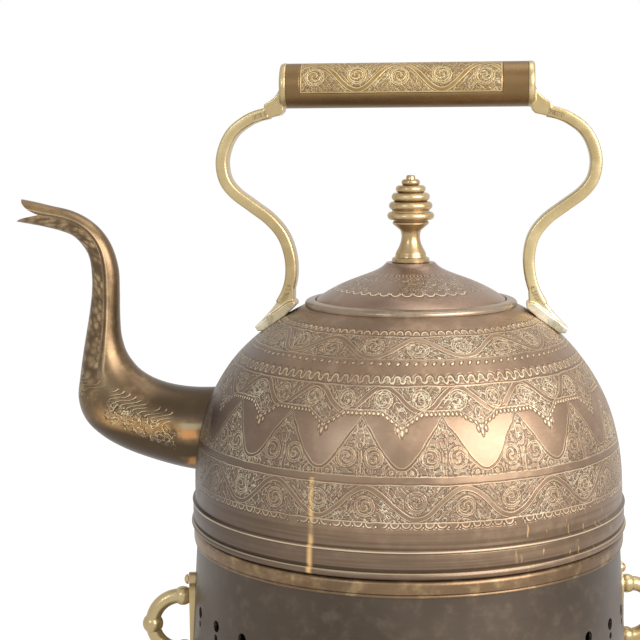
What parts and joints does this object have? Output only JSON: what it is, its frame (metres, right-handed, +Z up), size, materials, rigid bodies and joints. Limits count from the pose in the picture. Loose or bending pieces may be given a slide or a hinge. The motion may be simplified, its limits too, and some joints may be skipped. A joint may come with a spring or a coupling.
{
  "type": "kettle on a burner stand",
  "caption": "Domed engraved brass kettle with hinged lid, swan-neck spout and fixed bail, lifting off a flared drum stand that holds a small spirit burner.",
  "frame": {"origin": "centre of the stand's foot ring, on the surface it stands on", "axes": "+Z up along the axis of the stand and kettle; the spout points to -X, the doorway of the stand faces -Y, and the lid's hinge is on the +Y side"},
  "size_m": [0.3545, 0.266, 0.4092],
  "materials": {
    "patina_brass": "engraved, brown patina",
    "cast_brass": "cast, worn pale",
    "bright_brass": "turned, satin",
    "dark_brass": "heat-darkened",
    "wick_cotton": "woven cotton"
  },
  "bodies": {
    "stand": {"stand_drum": "patina_brass", "stand_rim": "bright_brass", "stand_base": "patina_brass", "stand_floor": "dark_brass", "door_frame": "bright_brass", "side_handle_left": "cast_brass", "side_handle_right": "cast_brass", "handle_rivets": "bright_brass"},
    "kettle": {"kettle_body": "patina_brass", "kettle_pan": "dark_brass", "mouth_ring": "bright_brass", "spout": "patina_brass", "bail_arm_left": "cast_brass", "bail_arm_right": "cast_brass", "grip_tube": "patina_brass", "hinge_leaf": "bright_brass", "hinge_pin": "bright_brass"},
    "lid": {"lid_dome": "patina_brass", "lid_skirt": "dark_brass", "lid_strap": "bright_brass", "finial": "bright_brass", "finial_nut": "dark_brass"},
    "burner": {"burner_tank": "bright_brass", "tank_collar": "cast_brass"},
    "wick_unit": {"wick_holder": "cast_brass", "wick": "wick_cotton", "snuffer_pin": "cast_brass"},
    "snuffer": {"snuffer_cap": "bright_brass"}
  },
  "joints": [
    {"name": "kettle_lift", "type": "slide", "parent": "stand", "child": "kettle", "axis": [0, 0, 1], "range_m": [0, 0.08]},
    {"name": "lid_hinge", "type": "hinge", "parent": "kettle", "child": "lid", "pos_m": [0, 0.0564, 0.2882], "axis": [-1, 0, 0], "range_deg": [0, 100]},
    {"name": "burner_slide", "type": "slide", "parent": "stand", "child": "burner", "axis": [0, -1, 0], "range_m": [0, 0.16]},
    {"name": "wick_lift", "type": "slide", "parent": "burner", "child": "wick_unit", "axis": [0, 0, 1], "range_m": [0, 0.018]},
    {"name": "snuffer_hinge", "type": "hinge", "parent": "wick_unit", "child": "snuffer", "pos_m": [0, 0.0154, 0.0882], "axis": [-1, 0, 0], "range_deg": [0, 100]}
  ]
}
